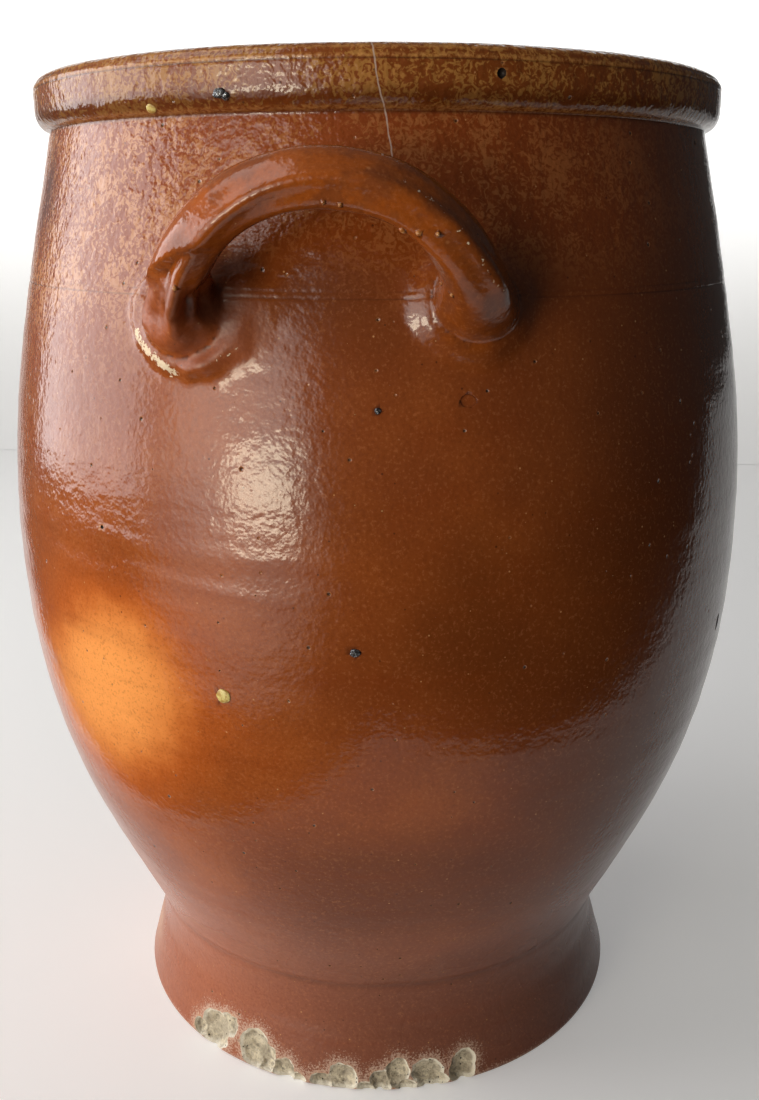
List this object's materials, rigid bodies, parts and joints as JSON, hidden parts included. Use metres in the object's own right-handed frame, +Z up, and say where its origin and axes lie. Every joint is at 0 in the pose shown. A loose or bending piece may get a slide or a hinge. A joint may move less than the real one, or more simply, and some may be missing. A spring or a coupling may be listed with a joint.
{
  "type": "confit pot",
  "caption": "Tall bellied stoneware storage jar with an open mouth, a rolled rim, a flared foot and two pulled loop handles on the shoulder.",
  "frame": {"origin": "middle of the flat base, on the axis of the body, at the height of the surface it stands on", "axes": "+Z up along the axis of the body, Y through the two handles with the handle that the picture shows on -Y, +X to the right of that handle"},
  "size_m": [0.3258, 0.3752, 0.42],
  "materials": {
    "glaze": "glossy salt glaze, orange to red brown, with pits, mottles and bare clay where the foot is chipped"
  },
  "bodies": {
    "root": {"pot": "glaze"}
  },
  "joints": []
}
